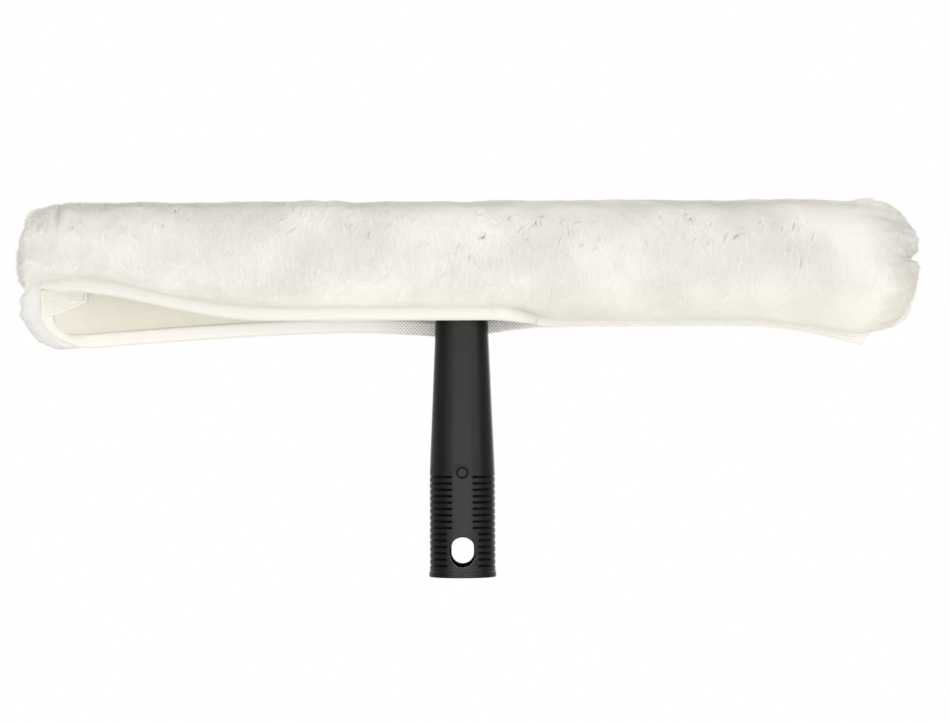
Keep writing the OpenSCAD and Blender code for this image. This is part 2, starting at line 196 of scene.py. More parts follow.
def finer(node, finish, body, slot):
    """The node's own shape, shaded by its true round surfaces and not by its facets."""
    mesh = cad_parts[node].data.copy()
    mesh.name = node
    work = bmesh.new()
    work.from_mesh(mesh)
    bmesh.ops.remove_doubles(work, verts=work.verts, dist=0.000002)
    # Long thin triangles cut corners on the grip, so they are paired again the shortest way
    on_grip = {face for face in work.faces
               if all(abs(math.hypot(v.co.x, v.co.y) - GRIP_R) < 0.00002 for v in face.verts)}
    inner = [e for e in work.edges if len(e.link_faces) == 2 and on_grip.issuperset(e.link_faces)]
    bmesh.ops.beautify_fill(work, faces=list(on_grip), edges=inner, method="ANGLE")
    work.to_mesh(mesh)
    work.free()
    mesh.polygons.foreach_set("use_smooth", np.ones(len(mesh.polygons), dtype=bool))
    points = np.array([vertex.co for vertex in mesh.vertices])
    corners = points[[loop.vertex_index for loop in mesh.loops]]
    faces = np.concatenate([[face.normal] * face.loop_total for face in mesh.polygons])
    shaded = faces.copy()
    on_collar = corners[:, 2] > BAR_Z - COLLAR_REACH
    for axis, level, zone in ((0, BAR_Z, on_collar), (2, 0, corners[:, 2] < BAR_Z - COLLAR_REACH)):
        found, normals = turned(corners, faces, axis, level)
        found &= zone
        shaded[found] = normals[found]
    mesh.normals_split_custom_set(shaded.tolist())
    piece = bpy.data.objects.new(node + "_moulding", mesh)
    bpy.context.scene.collection.objects.link(piece)
    settle(piece, finish, body, slot, node)


mm = 0.001
BAR_Z = 0.1615
COLLAR_REACH = 0.016
GRIP_R = 0.0167
MARK_Z, MARK_R = 0.05337, 0.00265
ARCH_LINE_R = 4.1 * mm
plastic = Finish("satin_plastic", IOR=1.5, Specular_IOR_Level=0.08)
grain = plastic.noise(2400, 3)
flow = plastic.noise(60, 3, plastic.place((1, 1, 0.25)))
skin_x, skin_y, skin_z = (plastic.add("ShaderNodeSeparateXYZ", {}, {0: plastic.place()}, out=k)
                       for k in range(3))
# The grooves' floors are matt from the mould, as is the round mark's rim, and both are coloured
# near-black as painted shade in these recesses. A raised line arches over the mark.
from_axis = (skin_x * skin_x + skin_y * skin_y) ** 0.5
groove = plastic.level(from_axis, 16.3 * mm, 15.9 * mm) * plastic.level(skin_z, 53 * mm, 52 * mm)
from_mark = (skin_x * skin_x + (skin_z - MARK_Z) * (skin_z - MARK_Z)) ** 0.5
rim_line = 1 - plastic.level((from_mark - MARK_R).size(), 0.25 * mm, 0.6 * mm)
arch = (1 - plastic.level((from_mark - ARCH_LINE_R).size(), 0.1 * mm, 0.5 * mm)) * plastic.level(
    skin_z - MARK_Z, 1.0 * mm, 2.0 * mm)
# The front and the back of the grip are coloured a little lighter than its sides: a painted
# highlight
painted_highlight = plastic.level(skin_x.size() + 3 * mm * flow, 13 * mm, 4 * mm)
skin_colour = plastic.blend(painted_highlight, shade(14, 15, 14), shade(46, 47, 45))
# Painted shade: the grooves and the mark's rim are coloured near-black
plastic.vary("Base Color", plastic.blend(
    plastic.add("ShaderNodeMath", {"operation": "MAXIMUM"}, {0: groove, 1: rim_line * 0.9}),
    skin_colour, shade(5, 5, 5)))
plastic.vary("Roughness", 0.24 + 0.08 * plastic.noise(140, 2) + 0.05 * grain
             + 0.5 * groove + 0.5 * rim_line)
plastic.relief(0.12 * grain + 1.6 * arch - rim_line, 0.0004, 0.5)
finer("handle", plastic, "t_bar", "handle_plastic")

# Tube, caps and rivets: drawn aluminium tube, riveted through the handle's collar and
# closed by a pressed-in plastic cap at each end. The sleeve hides all but what shows
# through its mouth and slit.
aluminium = Finish("drawn_aluminium", Metallic=1.0)
drawing = aluminium.noise(900, 3, aluminium.place((0.02, 1, 1)))
aluminium.vary("Base Color", aluminium.blend(drawing, shade(196, 198, 200), shade(222, 223, 224)))
aluminium.vary("Roughness", 0.24 + 0.16 * drawing)
aluminium.relief(drawing, 0.00002, 0.5)
dress("crossbar", aluminium)

cap_plastic = Finish("cap_plastic", IOR=1.5)
cap_grain = cap_plastic.noise(1600, 3)
cap_plastic.vary("Base Color", cap_plastic.blend(cap_grain, shade(38, 39, 38), shade(48, 48, 47)))
cap_plastic.vary("Roughness", 0.45 + 0.1 * cap_grain)
cap_plastic.relief(cap_grain, 0.00004, 0.4)
dress("left_end_cap", cap_plastic)
dress("right_end_cap", cap_plastic)

rivet_metal = Finish("rivet_metal", Metallic=1.0)
scuff = rivet_metal.noise(1500, 4)
rivet_metal.vary("Base Color", rivet_metal.blend(
    scuff, shade(168, 170, 172), shade(205, 206, 207)))
rivet_metal.vary("Roughness", 0.25 + 0.2 * scuff)
rivet_metal.relief(scuff, 0.00003, 0.4)
dress("collar_rivets", rivet_metal)

# Sleeve backing: knitted polyester cloth that carries the pile. It goes over the tube as
# a sleeve: open at the left, sewn shut at the right and along the bottom, with a slit for
# the handle.
RIM_X, END_X = -0.218, 0.221
ARCH_R = 0.0169
CLOTH = 0.0015
HEM_H, HEM_T = 0.0075, 0.003
SLIT_HALF, SEAM_HALF = 0.016604, 0.00245
NECK_R = 0.0133
SLIT_RIGHT = 0.046
HEM_ROW, ARCH_ROW = 0.9, 0.45
STEP = 0.004
FRONT_DROP, BACK_DROP, SEAM_DROP = 30.9 * mm, 36.9 * mm, 34.5 * mm
LIFT, LIFT_X, LIFT_RUN = 15.4 * mm, -0.085, 0.118
HOOK_DROP, HOOK_RUN = 6 * mm, 0.022
SAG, SAG_X, SAG_RUN = 8.4 * mm, -0.060, 0.145
DIP, DIP_RUN = 2.4 * mm, 0.030
CORNER_DROP, CORNER_LEAD, CORNER_RUN = 9.7 * mm, 76 * mm, 58 * mm
FLARE, FLARE_X, FLARE_RUN = 4.2 * mm, -0.150, 0.040
RIM_BACK, RIM_FRONT = 15 * mm, 5 * mm
END_TOP, END_LOW, END_RUN = 12 * mm, 18 * mm, 0.034
CLOSING_LEAD, SEAM_BLEND, BACK_LEAD = 0.006, 0.010, 0.005
CUT_GIRTH = 0.060


def clamp(value):
    return np.clip(value, 0.0, 1.0)


def smooth(value):
    q = clamp(value)
    return q * q * (3 - 2 * q)


def mix(a, b, q):
    return a + (b - a) * q


def unit(vector):
    return vector / np.maximum(np.linalg.norm(vector, axis=-1, keepdims=True), 1e-9)


def seam_z(x):
    return BAR_Z - SEAM_DROP - CORNER_DROP * clamp((x - (END_X - CORNER_LEAD)) / CORNER_RUN) ** 1.7


def front_edge(x):
    lift = np.sin(clamp((LIFT_X - x) / LIFT_RUN) * math.pi / 2) ** 2.7
    hook = clamp((RIM_X + HOOK_RUN - x) / HOOK_RUN) ** 2
    level = BAR_Z - FRONT_DROP + LIFT * lift - HOOK_DROP * hook
    return mix(level, seam_z(x), smooth((x - NECK_R) / (SLIT_RIGHT + SEAM_BLEND - NECK_R)))


def back_edge(x):
    sag = SAG * clamp((SAG_X - x) / SAG_RUN) ** 1.4
    level = BAR_Z - BACK_DROP - sag - DIP * np.exp(-((x / DIP_RUN) ** 2))
    return mix(level, seam_z(x), smooth((x + BACK_LEAD) / (SLIT_RIGHT + SEAM_BLEND)))


def flare(x):
    return FLARE * smooth((FLARE_X - x) / FLARE_RUN)


def rim_at(s):
    back = RIM_BACK * clamp((s - 0.72) / 0.28) ** 2
    return RIM_X + np.where(s > 0, back, RIM_FRONT * clamp((-s - 0.8) / 0.2) ** 2)


def end_at(s):
    top = END_TOP * clamp(1 - abs(s) / 0.4) ** 2
    return END_X - top - END_LOW * clamp((abs(s) - 0.6) / 0.4) ** 1.5


def point_at(u, s):
    """Middle of the backing: u runs from the open rim to the sewn end, and s from the front
    edge, -1, over the top, 0, to the back edge, 1."""
    x = mix(rim_at(s), end_at(s), u)
    edge = np.where(s < 0, front_edge(x), back_edge(x))
    closing = smooth((x - NECK_R - CLOSING_LEAD) / (SLIT_RIGHT - NECK_R - CLOSING_LEAD))
    low = flare(x) + mix(SLIT_HALF, SEAM_HALF, closing)
    full = ARCH_R + flare(x)
    close = (1 - clamp((x - end_at(s) + END_RUN) / END_RUN) ** 2.5) ** 0.4
    row = abs(s)
    q = clamp((row - ARCH_ROW) / (HEM_ROW - ARCH_ROW))
    turn = clamp(row / ARCH_ROW) * math.pi / 2
    arch = row < ARCH_ROW
    y = np.where(arch, full * np.sin(turn), low + (full - low) * (1 - q * q))
    hem_part = clamp((row - HEM_ROW) / (1 - HEM_ROW))
    z = np.where(arch, BAR_Z + ARCH_R * np.cos(turn),
                 mix(mix(BAR_Z, edge + HEM_H, q), edge, hem_part))
    side = np.where(s < 0, -1.0, 1.0)
    return np.stack([x, side * mix(np.minimum(y, SEAM_HALF), y, close), z], axis=-1)


def along(u, s):
    return unit(point_at(np.minimum(u + STEP, 1), s) - point_at(np.maximum(u - STEP, 0), s))


def across(u, s):
    return unit(point_at(u, np.minimum(s + STEP, 1)) - point_at(u, np.maximum(s - STEP, -1)))


def outward(u, s):
    return unit(np.cross(along(u, s), across(u, s)))


def off_cloth(u, s, distance):
    return point_at(u, s) + np.asarray(distance)[..., None] * outward(u, s)


def at_x(x):
    return (x - RIM_X) / (END_X - RIM_X)


def cloth_grid(u, s):
    return np.meshgrid(np.asarray(u, float), np.asarray(s, float), indexing="ij")


def cut_lengths(u, s):
    """Lengths on the cloth as it was cut, along and round the sleeve."""
    return np.stack([u * (END_X - RIM_X), s * CUT_GIRTH], axis=-1)


def band(rows, cols, first, flipped=False):
    """The four-sided faces of a grid of points that starts at the given vertex."""
    i, j = np.meshgrid(np.arange(cols - 1), np.arange(rows - 1), indexing="ij")
    a = (first + i * rows + j).ravel()
    faces = np.stack([a, a + rows, a + rows + 1, a + 1], axis=-1)
    return faces[:, ::-1] if flipped else faces


def shell(outer, inner):
    """Points and faces of a closed sheet between two grids; the inner one may be coarser."""
    cols, rows = outer.shape[:2]
    fine = np.arange(cols * rows).reshape(cols, rows)
    coarse = cols * rows + np.arange(inner.shape[0] * inner.shape[1]).reshape(inner.shape[:2])
    stride = (cols - 1) // (inner.shape[0] - 1)

    def wall(edge, back):
        return [[*edge[k * stride:(k + 1) * stride + 1][::-1], back[k], back[k + 1]]
                for k in range(len(back) - 1)]

    faces = band(rows, cols, 0).tolist()
    faces += band(inner.shape[1], inner.shape[0], cols * rows, True).tolist()
    for cut_edge in ((slice(None), 0), (slice(None, None, -1), -1),
                     (0, slice(None, None, -1)), (-1, slice(None))):
        faces += wall(fine[cut_edge].tolist(), coarse[cut_edge].tolist())
    return np.concatenate([outer.reshape(-1, 3), inner.reshape(-1, 3)]), faces


def make(name, points, faces, cut=None):
    mesh = bpy.data.meshes.new(name)
    mesh.from_pydata(points.tolist(), [], [list(face) for face in faces])
    if cut is not None:
        order = np.empty(len(mesh.loops), dtype=np.int64)
        mesh.loops.foreach_get("vertex_index", order)
        layer = mesh.uv_layers.new(name="cut")
        layer.uv.foreach_set("vector", cut[order].astype(np.float32).ravel())
    mesh.polygons.foreach_set("use_smooth", np.ones(len(mesh.polygons), dtype=bool))
    mesh.update()
    piece = bpy.data.objects.new(name, mesh)
    bpy.context.scene.collection.objects.link(piece)
    return piece


def knit(finish, wale, course):
    """Height of a plain knit, 0 to 1: rows of small V-shaped stitches."""
    length, girth = finish.cut()
    lane = (length / wale).part() - 0.5
    v = lane.size() * 2
    stitch = ((girth / course + v * 0.5) * (2 * math.pi)).wave() * 0.5 + 0.5
    return stitch * 0.6 + (1 - (2 * v - 1).size()) * 0.4


RIM_U = at_x(RIM_X + HEM_H)
SLIT_U = at_x(SLIT_RIGHT)
SEW = 0.4 * mm
SEW_U = SEW / (END_X - RIM_X)

knitted = Finish("knit_backing", Roughness=0.9, Sheen_Weight=0.15, Sheen_Roughness=0.6)
stitches = knit(knitted, 0.9 * mm, 0.8 * mm)
worn = knitted.noise(35, 3)
knitted.vary("Base Color", knitted.blend(
    0.35 * stitches + 0.65 * worn, shade(213, 208, 192), shade(238, 233, 218)))
knitted.relief(stitches, 0.00025, 0.6)

# The cloth runs a little under the hems
UNDER_HEM = 0.01
u, s = cloth_grid(np.linspace(RIM_U - 2 * SEW_U, 1, 260),
                  np.linspace(-HEM_ROW - UNDER_HEM, HEM_ROW + UNDER_HEM, 111))
half_cloth = CLOTH / 2 * np.ones_like(u)
points, faces = shell(off_cloth(u, s, half_cloth), off_cloth(u, s, -half_cloth))
backing = make("backing_cloth", points, faces, np.tile(cut_lengths(u, s).reshape(-1, 2), (2, 1)))
settle(backing, knitted, "sleeve", "knit_backing", "backing")

# Hems: the cloth's bare edges, folded and overlocked, round the open rim and along both
# sides of the slit. They show their knit, and slanting loops of thread run along the edge.
hem_finish = Finish("knit_hem", Roughness=0.88, Sheen_Weight=0.2, Sheen_Roughness=0.6)
hem_stitches = knit(hem_finish, 1.1 * mm, 0.9 * mm)
fleck = hem_finish.noise(900, 2)
hem_colour = hem_finish.blend(
    0.6 * hem_stitches + 0.4 * fleck, shade(217, 213, 202), shade(243, 241, 234))
# Painted light: the back's inside, in the shade of the front layer, gets a lighter copy of the
# hem's colour
painted_lit_inside = hem_finish.blend(
    0.6 * hem_stitches + 0.4 * fleck, shade(244, 240, 232), shade(253, 250, 243))
hem_finish.relief(hem_stitches * 0.8 + fleck * 0.3, 0.0004, 0.8)


def open_mesh(finish, colour, painted_lit_colour, pitch):
    """The hem's colour. Behind, it is coloured lighter as painted light. Near the handle the
    back's knit shows small holes coloured dark: the holes are real, their darkness there is
    painted shade from the handle and the front layer.
    """
    spot_x, spot_y, spot_z = (
        finish.add("ShaderNodeSeparateXYZ", {}, {0: finish.place()}, out=k) for k in range(3))
    turn = math.pi / pitch
    dots = ((spot_x + spot_z) * turn).wave() * ((spot_x - spot_z) * turn).wave()
    behind = finish.level(spot_y, 0, 4 * mm)
    near = finish.level(spot_x.size(), 48 * mm, 22 * mm) * behind
    holes = finish.level(dots.size(), 0.6, 0.95) * near
    # Painted light behind, and painted shade in the holes near the handle
    return finish.blend(holes * 0.9, finish.blend(behind, colour, painted_lit_colour), shade(84, 82, 72))


hem_finish.vary("Base Color", open_mesh(hem_finish, hem_colour, painted_lit_inside, 1.85 * mm))


HEM_END_U = SLIT_U + 0.012


def hem_lines():
    """The hem's run, from the slit's right end in front, round the rim, to the same end behind:
    u and s of its free edge and of its sewn edge, and 0 on the slit to 1 on the rim."""
    bend_u, bend_s = 2 * RIM_U, 2 * (1 - HEM_ROW)
    slit = np.linspace(HEM_END_U, bend_u, 230)[:-1]
    turn = np.linspace(math.pi / 2, 0, 25)
    rim = np.linspace(-1 + bend_s, 1 - bend_s, 150)[1:-1]
    front_u = np.concatenate([slit, bend_u * (1 - np.cos(turn))])
    front_s = np.concatenate([np.full_like(slit, -1.0), -1 + bend_s * (1 - np.sin(turn))])
    sewn_u = np.concatenate([slit, bend_u * (1 - np.cos(turn) / 2)])
    sewn_s = np.concatenate([np.full_like(slit, -HEM_ROW), -1 + bend_s * (1 - np.sin(turn) / 2)])
    on_rim = np.concatenate([np.zeros_like(slit), smooth(1 - turn / (math.pi / 2))])
    return [np.concatenate([a, b, sign * a[::-1]]) for a, b, sign in (
        (front_u, np.zeros_like(rim), 1), (front_s, rim, -1),
        (sewn_u, np.full_like(rim, RIM_U), 1), (sewn_s, rim, -1),
        (on_rim, np.ones_like(rim), 1))]


free_u, free_s, sewn_u, sewn_s, on_rim = hem_lines()
roll = np.linspace(0, 1, 15)
thick = (1 - abs(2 * roll - 1) ** 3) ** 0.5
u = mix(free_u[:, None], sewn_u[:, None], roll)
s = mix(free_s[:, None], sewn_s[:, None], roll)
middle = mix(-1, 1, on_rim)[:, None] * (HEM_T - CLOTH) / 2 * np.ones_like(u)
taper = mix(0.1, 1, smooth((HEM_END_U - u) / 0.009))
half = HEM_T / 2 * mix(0.12, 1, thick)[None, :] * taper
points, faces = shell(off_cloth(u, s, middle - half), off_cloth(u, s, middle + half))
centre = off_cloth(u, s, middle)
steps = np.linalg.norm(np.diff(centre[:, 0], axis=0), axis=-1)
path_length = np.concatenate([[0], np.cumsum(steps)])
band_cut = np.stack(np.broadcast_arrays(path_length[:, None], roll * HEM_H), axis=-1)
hem = make("hem_band", points, faces, np.tile(band_cut.reshape(-1, 2), (2, 1)))
settle(hem, hem_finish, "sleeve", "knit_hem", "front_hem", "rim_hem", "back_hem")


def node_tree(name, sizes):
    """A geometry tree with one named input for each size, and its modifier's values."""
    tree = bpy.data.node_groups.new(name, "GeometryNodeTree")
    tree.interface.new_socket("Geometry", in_out="INPUT", socket_type="NodeSocketGeometry")
    tree.interface.new_socket("Geometry", in_out="OUTPUT", socket_type="NodeSocketGeometry")
    kinds = {float: "NodeSocketFloat", int: "NodeSocketInt"}
    for key, value in sizes.items():
        tree.interface.new_socket(key, in_out="INPUT", socket_type=kinds[type(value)])
    source = tree.nodes.new("NodeGroupInput")
    given = {socket.name: Term(tree, socket) for socket in source.outputs if socket.name}
    return tree, given


def grow(piece, tree, last, material, sizes, name):
    """Run the tree on a piece, and keep what it makes as a plain mesh."""
    real = add(tree, "GeometryNodeRealizeInstances", {}, {0: last})
    done = add(tree, "GeometryNodeSetMaterial", {}, {"Geometry": real, "Material": material})
    tree.links.new(done.socket, tree.nodes.new("NodeGroupOutput").inputs[0])
    modifier = piece.modifiers.new("nodes", "NODES")
    modifier.node_group = tree
    for item in tree.interface.items_tree:
        if item.in_out == "INPUT" and item.name in sizes:
            modifier[item.identifier] = sizes[item.name]
    graph = bpy.context.evaluated_depsgraph_get()
    mesh = bpy.data.meshes.new_from_object(piece.evaluated_get(graph))
    piece.modifiers.remove(modifier)
    mesh.name = name
    grown = bpy.data.objects.new(name, mesh)
    bpy.context.scene.collection.objects.link(grown)
    bpy.data.objects.remove(piece)
    return grown


def mark(piece, **values):
    """Give each point of a piece its value or vector under each name."""
    for key, value in values.items():
        size = value.size // len(piece.data.vertices)
        layer = piece.data.attributes.new(key, "FLOAT_VECTOR" if size == 3 else "FLOAT", "POINT")
        layer.data.foreach_set("vector" if size == 3 else "value",
                               value.astype(np.float32).ravel())


def named(tree, name, kind="FLOAT_VECTOR"):
    return add(tree, "GeometryNodeInputNamedAttribute", {"data_type": kind}, {0: name})


# The overlock thread: one slanting loop after another over the free edge
LOOP_PITCH, LOOP_INSET = 1.35 * mm, 1.1 * mm
LOOP_START, LOOP_SWEEP = math.radians(-98), math.radians(196)
reach_along = np.arange(0.5 * LOOP_PITCH, path_length[-1], LOOP_PITCH)


def on_path(values):
    return np.stack([np.interp(reach_along, path_length, values[:, k]) for k in range(3)],
                    axis=-1)


edge_point, edge_in = on_path(centre[:, 0]), on_path(unit(centre[:, 4] - centre[:, 0]))
edge_run = on_path(unit(np.gradient(centre[:, 0], axis=0)))
loop_places = make("loop_places", edge_point + LOOP_INSET * edge_in, [])
mark(loop_places, inward=edge_in, run=edge_run)
loop_sizes = {"Loop half width": 1.15 * mm, "Loop height": 1.55 * mm,
              "Thread": 0.2 * mm, "Slant": 0.45}
tree, given = node_tree("overlock", loop_sizes)
arc = add(tree, "GeometryNodeCurveArc", {}, {
    "Resolution": 9, "Radius": 1.0, "Start Angle": LOOP_START, "Sweep Angle": LOOP_SWEEP})
spot = add(tree, "GeometryNodeInputPosition")
arc_x, arc_y = (add(tree, "ShaderNodeSeparateXYZ", {}, {0: spot}, out=k) for k in (0, 1))
bent = add(tree, "ShaderNodeCombineXYZ", {}, {
    0: arc_x * given["Loop half width"], 1: arc_y * given["Loop height"],
    2: arc_y * given["Slant"] * given["Loop half width"]})
arc = add(tree, "GeometryNodeSetPosition", {}, {"Geometry": arc, "Position": bent})
ring = add(tree, "GeometryNodeCurvePrimitiveCircle", {},
           {"Resolution": 4, "Radius": given["Thread"]})
thread = add(tree, "GeometryNodeCurveToMesh", {},
             {"Curve": arc, "Profile Curve": ring, "Fill Caps": True})
over_edge = add(tree, "ShaderNodeVectorMath", {"operation": "SCALE"},
                {0: named(tree, "inward"), "Scale": -1.0})
facing = add(tree, "FunctionNodeAxesToRotation", {"primary_axis": "X", "secondary_axis": "Z"},
             {0: over_edge, 1: named(tree, "run")})
set_down = add(tree, "GeometryNodeInstanceOnPoints", {},
               {"Points": given["Geometry"], "Instance": thread, "Rotation": facing})
thread_finish = Finish("overlock_thread", Roughness=0.7, Sheen_Weight=0.3, Sheen_Roughness=0.4)
twist = thread_finish.noise(2600, 2)
thread_finish.vary("Base Color", thread_finish.blend(
    twist, shade(228, 225, 214), shade(250, 248, 241)))
thread_finish.relief(twist, 0.0001, 0.5)
overlock = grow(
    loop_places, tree, set_down, thread_finish.material, loop_sizes, "overlock_thread")
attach(overlock, "sleeve")

# Seams: right of the slit both layers are sewn together. A flat strip without pile runs
# along the bottom, and inside the right end lies the allowance of the end's own seam.
closed_cols = np.concatenate([np.linspace(SLIT_U, 0.9, 150)[:-1], np.linspace(0.9, 1, 40)])
seam_rows = np.concatenate([np.linspace(HEM_ROW - 0.004, 0.965, 9)[:-1],
                            1 - 0.035 * np.cos(np.linspace(0, math.pi / 2, 7))])
u, s = cloth_grid(closed_cols, -seam_rows[::-1])
front_side = off_cloth(u, s, CLOTH / 2 * np.ones_like(u))
back_side = off_cloth(u, -s, CLOTH / 2 * np.ones_like(u))
points, faces = shell(front_side, back_side)
bottom_seam = make("bottom_seam_strip", points, faces,
                   np.tile(cut_lengths(u, s).reshape(-1, 2), (2, 1)))
settle(bottom_seam, hem_finish, "sleeve", "knit_hem", "bottom_seam")

end_rows = HEM_ROW * np.linspace(2, 8, 40) / 9
end_z = point_at(np.ones_like(end_rows), end_rows)[:, 2]
strip_x = np.stack([end_at(end_rows) - w for w in np.linspace(3 * mm, SEW, 6)])
strip_z = np.broadcast_to(end_z, strip_x.shape)
strip_half = SEAM_HALF - CLOTH / 2 - 0.1 * mm
points, faces = shell(*(np.stack([strip_x, np.full_like(strip_x, y), strip_z], axis=-1)
                        for y in (strip_half, -strip_half)))
end_seam = make("end_seam_strip", points, faces,
                np.tile(np.stack([strip_x, strip_z], axis=-1).reshape(-1, 2), (2, 1)))
settle(end_seam, hem_finish, "sleeve", "knit_hem", "end_seam")

# Fleece: short, dense, silky polyester pile, knitted into the backing and brushed down
# both sides. It lies in soft waves, opens in fine partings and stands out at both ends.
PILE, PILE_EDGE, TAIL_EDGE = 12.5 * mm, 2.4 * mm, 4.5 * mm
PILE_GIRTH = 0.075
BURY = 0.9 * mm
PARTINGS, GROUP = 420, 5
TABLE = 256


def wander(a, b, scale, seed):
    """A smooth random field, -1 to 1, over two lengths in metres."""
    table = np.random.default_rng(seed).uniform(-1, 1, (TABLE, TABLE))
    x, y = a / scale + 1000.0, b / scale + 1000.0
    i, j = np.floor(x).astype(int), np.floor(y).astype(int)
    p, q = smooth(x - i), smooth(y - j)
    i, j = i % TABLE, j % TABLE
    right, up = (i + 1) % TABLE, (j + 1) % TABLE
    return mix(mix(table[i, j], table[right, j], p), mix(table[i, up], table[right, up], p), q)


def tail(u, s):
    """Near the rim the back's pile stays thick and hangs over its hem: 1 there, 0 elsewhere."""
    return np.where(s > 0, 1 - smooth((u - 0.02) / 0.17), 0)


def end_row(u, s):
    return mix(HEM_ROW, 0.985, tail(u, s))


def pile_at(u, s):
    q = clamp((end_row(u, s) - abs(s)) / mix(0.28, 0.13, tail(u, s)))
    return mix(mix(PILE_EDGE, TAIL_EDGE, tail(u, s)), PILE, np.sqrt(1 - (1 - q) ** 2))


def partings(u, s):
    """How deep the pile is parted there, and which way each side of a parting leans."""
    x, girth = u * (END_X - RIM_X) + RIM_X, s * PILE_GIRTH
    depth, lean_x, lean_s = (np.zeros_like(x) for _ in range(3))
    random = np.random.default_rng(11)
    for k in range(PARTINGS):
        if k % GROUP == 0:
            side = random.choice([-1, 1])
            group_x, group_g = random.uniform(RIM_X, END_X), abs(random.normal(0.020, 0.009))
        centre_x = group_x + random.normal(0, 0.006)
        centre_g = side * (group_g + random.normal(0, 0.003))
        length, width = random.uniform(0.8, 3.4) * mm, random.uniform(0.25, 0.45) * mm
        turn = random.normal(1.0, 0.45) * (1 if centre_g < 0 else -1)
        strength = random.uniform(0.3, 1.0)
        dx, dg = x - centre_x, girth - centre_g
        near = (abs(dx) < 0.02) & (abs(dg) < 0.02)
        dx, dg = dx[near], dg[near]
        t = dx * math.cos(turn) + dg * math.sin(turn)
        n = -dx * math.sin(turn) + dg * math.cos(turn) + 10 * t * t
        fade = np.exp(-(t / length) ** 4) * strength
        depth[near] += fade * np.exp(-(n / width) ** 2)
        lean = fade * np.tanh(n / width) * np.exp(-(n / (3 * width)) ** 2)
        lean_x[near] -= lean * math.sin(turn)
        lean_s[near] += lean * math.cos(turn)
    return np.minimum(depth, 1.2), lean_x, lean_s


def waves(u, s):
    x, girth = u * (END_X - RIM_X), s * PILE_GIRTH
    ends = 1 + 4.5 * smooth((u - 0.93) / 0.06) + 1.4 * smooth((0.05 - u) / 0.05)
    return ends * (0.45 * mm * wander(x, girth, 0.019, 1) + 0.22 * mm * wander(x, girth, 0.008, 2)
                   + 0.09 * mm * wander(x, girth, 0.003, 3))


def skin_at(u, s):
    """The surface that the tips' silhouette stands on."""
    fine = clamp((end_row(u, s) - abs(s)) / 0.1)
    parted, _, _ = partings(u, s)
    depth = pile_at(u, s) - BURY * mix(0.5, 1, fine) + fine * (waves(u, s) - 0.5 * mm * parted)
    at_end = smooth((u - 0.88) / 0.12)
    notch = np.where(abs(s) < 0.46, smooth((abs(s) - 0.38) / 0.08),
                     smooth((0.48 - abs(s)) / 0.02))
    depth -= at_end * (0.3 * mm + 3.0 * mm * notch * smooth((u - 0.984) / 0.012))
    round_off = (4.2 * mm * smooth((0.045 - u) / 0.045) ** 2
                 + 0.3 * mm * smooth((u - 0.94) / 0.06) ** 2)
    depth -= round_off * smooth((0.45 - abs(s)) / 0.3)
    dimple = np.exp(-((u - 0.032) / 0.006) ** 2 - ((s + 0.13) / 0.13) ** 2)
    depth -= 1.8 * mm * dimple
    points = off_cloth(u, s, CLOTH / 2 + depth)
    meet = smooth((u - 0.985) / 0.015)
    points[..., 1] *= 1 - meet * 0.98
    girth = abs(s) * PILE_GIRTH
    ragged = (0.8 * mm * wander(girth, 0 * u, 0.0032, 31)
              + 0.5 * mm * wander(girth, 0 * u, 0.0014, 32))
    points[..., 0] += smooth((u - 0.97) / 0.03) * ragged
    return points


# The pile's rounded edge over the rim is a fan of rows, which count as u from -FAN_U to 0
FAN, FAN_U = np.radians(np.linspace(90, 6, 16)), 0.02
ROOT = 0.12
UNDER_STRIDE = 4
pile_cols = np.concatenate([np.linspace(0, 0.9, 620)[:-1], np.linspace(0.9, 1, 90)])
pile_rows = np.linspace(-HEM_ROW, HEM_ROW, 265)
u, s = cloth_grid(pile_cols, pile_rows)
s = s + (end_row(u, s) - HEM_ROW) * clamp((s - 0.5) / (HEM_ROW - 0.5)) ** 2
skin = skin_at(u, s)
over_hem = HEM_T - CLOTH / 2
by_hem = (u < RIM_U) | ((u < 2 * RIM_U) & (s > 0.8))
under = off_cloth(u, s, np.where(by_hem, over_hem, CLOTH / 2) + 0.05 * mm)

rim_s = s[0]
over = 0.43 + 0.07 * smooth((abs(rim_s) - 0.25) / 0.2) + 0.35 * smooth((rim_s - 0.5) / 0.25)
rim_u = np.zeros_like(rim_s)
rim_out, rim_along = outward(rim_u, rim_s), along(rim_u, rim_s)
rim_root = off_cloth(rim_u, rim_s, np.full_like(rim_s, over_hem))
rim_depth = np.linalg.norm(skin[0] - rim_root, axis=-1)[:, None]
rim_girth = rim_s * PILE_GIRTH
ragged = (1 + 0.10 * wander(rim_girth, 0 * rim_s, 0.0032, 33)
          + 0.06 * wander(rim_girth, 0 * rim_s, 0.0014, 34))
over = over * ragged
fan_outer = np.stack([
    rim_root + rim_depth * (math.cos(a) * rim_out - over[:, None] * math.sin(a) * rim_along)
    for a in FAN])
fan_inner = np.stack([rim_root + rim_depth * ROOT * math.sin(a) * (rim_out - rim_along)
                      for a in FAN])
outer = np.concatenate([fan_outer, skin])


def skin_normals(grid):
    return unit(np.cross(np.gradient(grid, axis=0), np.gradient(grid, axis=1)))


def soften(grid, share, times):
    """Round the creases across the columns, more where the share is near 1."""
    share = share[1:-1, None, None] / 2
    for _ in range(times):
        grid[1:-1] = mix(grid[1:-1], (grid[:-2] + grid[2:]) / 2, share)


fan_at = -FAN_U * np.sin(FAN)
column_u = np.concatenate([fan_at, pile_cols])
soften(outer, smooth((column_u - 0.90) / 0.04), 150)
soften(outer, smooth((0.03 - column_u) / 0.02) * smooth((column_u + FAN_U) / 0.006), 40)
fan_u = np.repeat(fan_at[:, None], len(rim_s), axis=1)
all_u = np.concatenate([fan_u, u])
all_s = np.concatenate([np.repeat(rim_s[None], len(FAN), axis=0), s])
